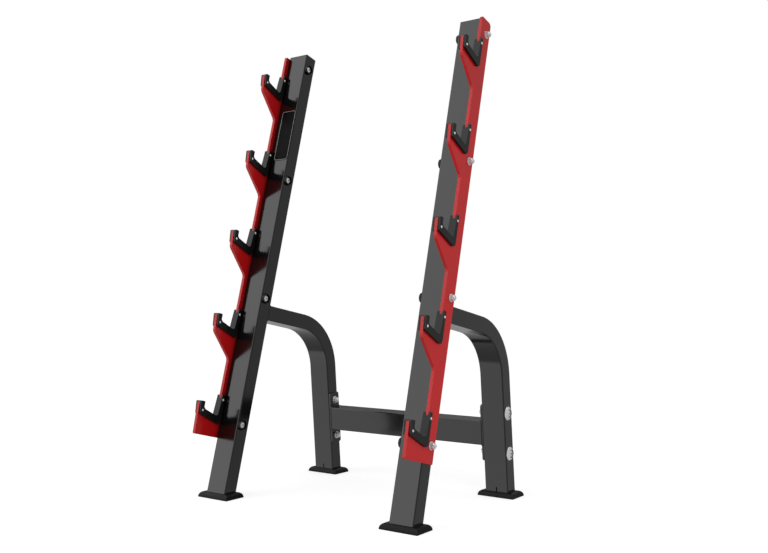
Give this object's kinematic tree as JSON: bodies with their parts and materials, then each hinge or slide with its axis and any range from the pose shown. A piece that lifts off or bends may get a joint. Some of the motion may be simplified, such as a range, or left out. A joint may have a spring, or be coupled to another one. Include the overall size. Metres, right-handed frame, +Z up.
{
  "type": "barbell storage rack",
  "caption": "Free-standing gym rack: leaning posts with lined hook plates for stored bars, bent rear legs, a bolted crossbeam and rubber feet.",
  "frame": {"origin": "on the floor at the middle of the rack's footprint box", "axes": "+X to the right along the stored bars, seen from the front; +Y to the back; +Z up"},
  "size_m": [0.835, 0.6474, 1.483],
  "materials": {
    "powder_coat_grey": "satin",
    "powder_coat_red": "satin",
    "liner_plastic": "matt",
    "cap_plastic": "matt",
    "foot_rubber": "satin",
    "cup_plastic": "gloss",
    "zinc_steel": "bright",
    "label_black": "gloss"
  },
  "bodies": {
    "root": {"left_post": "powder_coat_grey", "right_post": "powder_coat_grey", "left_rear_leg": "powder_coat_grey", "right_rear_leg": "powder_coat_grey", "left_flange": "powder_coat_grey", "right_flange": "powder_coat_grey", "crossbeam": "powder_coat_grey", "left_hook_plate": "powder_coat_red", "right_hook_plate": "powder_coat_red", "left_liner_1": "liner_plastic", "left_liner_2": "liner_plastic", "left_liner_3": "liner_plastic", "left_liner_4": "liner_plastic", "left_liner_5": "liner_plastic", "right_liner_1": "liner_plastic", "right_liner_2": "liner_plastic", "right_liner_3": "liner_plastic", "right_liner_4": "liner_plastic", "right_liner_5": "liner_plastic", "left_post_cap": "cap_plastic", "right_post_cap": "cap_plastic", "left_front_foot": "foot_rubber", "right_front_foot": "foot_rubber", "left_rear_foot": "foot_rubber", "right_rear_foot": "foot_rubber", "left_plate_cups": "cup_plastic", "right_plate_cups": "cup_plastic", "left_liner_screws": "zinc_steel", "right_liner_screws": "zinc_steel", "left_liner_nuts": "zinc_steel", "right_liner_nuts": "zinc_steel", "left_plate_bolts": "zinc_steel", "right_plate_bolts": "zinc_steel", "left_plate_washers": "zinc_steel", "right_plate_washers": "zinc_steel", "left_plate_nuts": "zinc_steel", "right_plate_nuts": "zinc_steel", "left_dome_washers": "zinc_steel", "right_dome_washers": "zinc_steel", "left_beam_bolts": "zinc_steel", "right_beam_bolts": "zinc_steel", "left_flange_washers": "zinc_steel", "right_flange_washers": "zinc_steel", "left_flange_nuts": "zinc_steel", "right_flange_nuts": "zinc_steel", "label_plate": "label_black"}
  },
  "joints": []
}
